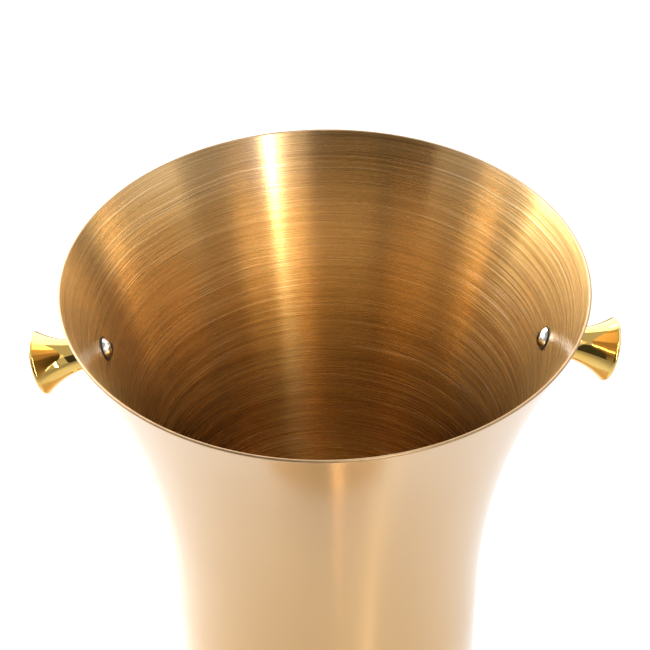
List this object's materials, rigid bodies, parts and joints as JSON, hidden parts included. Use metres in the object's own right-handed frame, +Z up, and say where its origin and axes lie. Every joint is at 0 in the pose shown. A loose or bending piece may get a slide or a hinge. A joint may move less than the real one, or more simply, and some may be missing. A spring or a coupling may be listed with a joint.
{
  "type": "champagne bucket stand",
  "caption": "Flared champagne bucket with trumpet knobs, resting in a cup on a slim column with a round weighted base.",
  "frame": {"origin": "on the floor, at the middle of the base, on the column's axis", "axes": "+Z up along the column; the bucket's knobs point along +X and -X; +Y to the back, where the collars' grub screws are"},
  "size_m": [0.28, 0.28, 0.7831],
  "materials": {
    "satin_gold": "gold-coloured plating on spun stainless steel, satin outside and turned-brushed inside",
    "polished_gold": "solid brass, mirror polished and lacquered",
    "polished_steel": "stainless steel, polished",
    "zinc_steel": "bright zinc plate",
    "machined_aluminium": "as turned",
    "cast_ballast": "as cast, black primer",
    "black_plate": "black powder coat, fine texture",
    "black_rubber": "matt black moulded rubber",
    "mat_rubber": "matt dark grey moulded rubber"
  },
  "bodies": {
    "stand": {"seat_cup": "satin_gold", "rubber_mat": "mat_rubber", "cup_screws": "zinc_steel", "column_tube": "satin_gold", "head_plug": "machined_aluminium", "foot_plug": "machined_aluminium", "head_flare": "satin_gold", "upper_collar": "polished_gold", "lower_collar": "polished_gold", "collar_grub_screws": "zinc_steel", "base_cover": "satin_gold", "base_plate": "black_plate", "ballast_weight": "cast_ballast", "rubber_feet": "black_rubber", "foot_screws": "zinc_steel", "tie_rod": "zinc_steel", "rod_washer": "zinc_steel", "rod_spring_washer": "zinc_steel", "rod_nut": "zinc_steel"},
    "bucket": {"bucket_shell": "satin_gold", "knob_left": "polished_gold", "knob_right": "polished_gold", "knob_screw_left": "polished_steel", "knob_screw_right": "polished_steel", "knob_seal_left": "black_rubber", "knob_seal_right": "black_rubber"}
  },
  "joints": [
    {"name": "bucket_lift", "type": "slide", "parent": "stand", "child": "bucket", "axis": [0, 0, 1], "range_m": [0, 0.3]}
  ]
}
